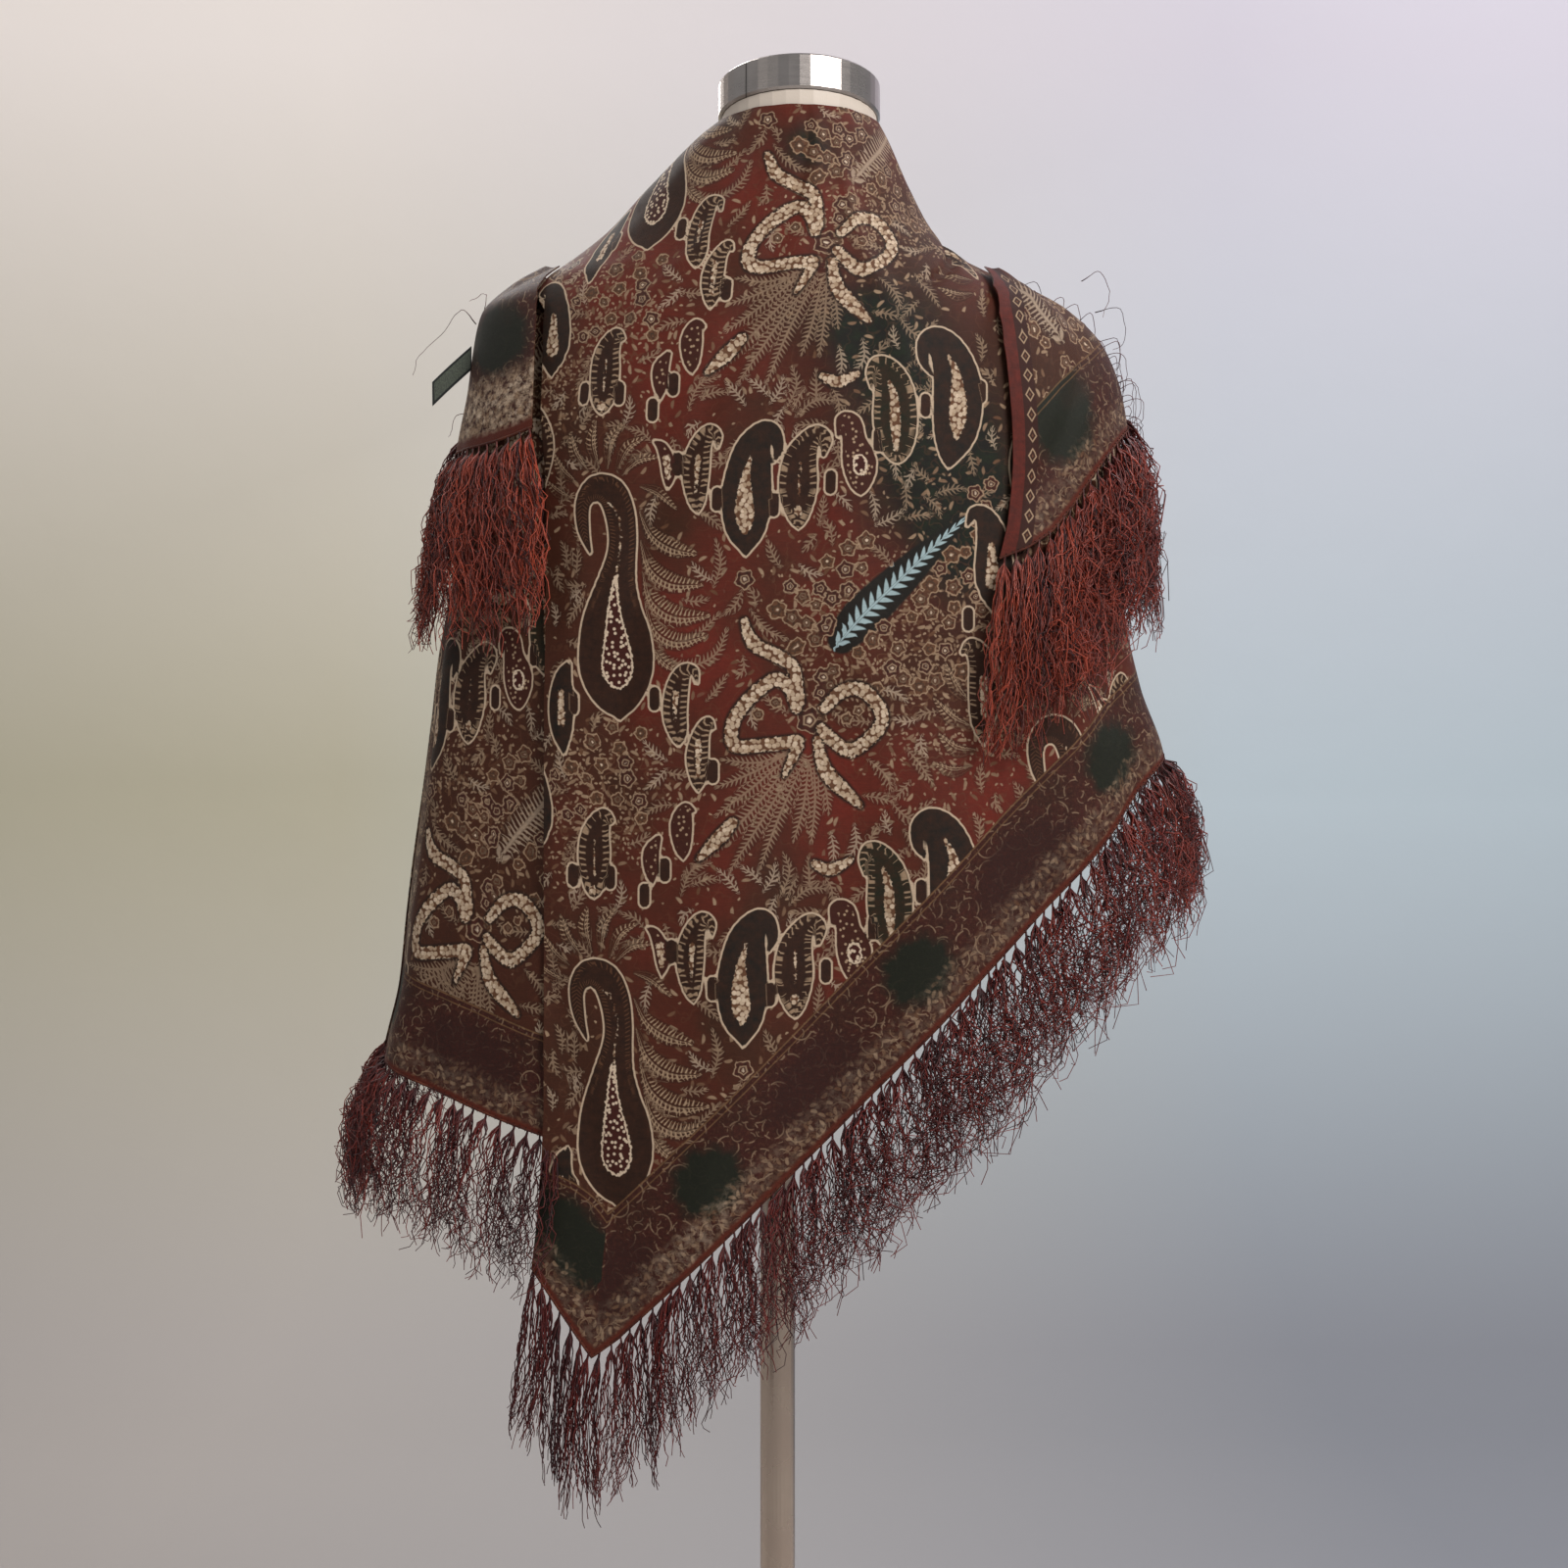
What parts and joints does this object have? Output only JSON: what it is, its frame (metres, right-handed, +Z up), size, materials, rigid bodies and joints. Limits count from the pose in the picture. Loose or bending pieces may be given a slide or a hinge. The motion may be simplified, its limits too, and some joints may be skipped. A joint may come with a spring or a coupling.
{
  "type": "fringed paisley shawl on a limbless dress form stand",
  "caption": "Triangular printed shawl with a knotted fringe, wound round a limbless dress form on a pole with a round base.",
  "frame": {"origin": "centre of the base's underside, on the pole's axis", "axes": "+Z up along the pole; the shawl's back faces -Y and its front +Y; +X is to the right in the view of its back"},
  "size_m": [0.5684, 0.33, 1.4987],
  "materials": {
    "printed_cloth": "thin plain-weave cloth printed in rust, brown, dark green and beige, with a soft sheen",
    "fringe_yarn": "fine crimped yarn, rust red and silky",
    "label_cloth": "blank dark woven tape",
    "form_cream": "smooth cream shell",
    "polished_metal": "bright, lightly brushed"
  },
  "bodies": {
    "root": {"shawl_back": "printed_cloth", "shawl_left": "printed_cloth", "shawl_front_under": "printed_cloth", "shawl_front_over": "printed_cloth", "shawl_right_flap": "printed_cloth", "shawl_left_flap": "printed_cloth", "fringe_back": "fringe_yarn", "fringe_point": "fringe_yarn", "fringe_left": "fringe_yarn", "fringe_front_under": "fringe_yarn", "fringe_front_over": "fringe_yarn", "fringe_right_flap": "fringe_yarn", "fringe_left_flap": "fringe_yarn", "label": "label_cloth", "form_torso": "form_cream", "neck_cap": "polished_metal", "pole": "polished_metal", "base": "polished_metal"}
  },
  "joints": []
}
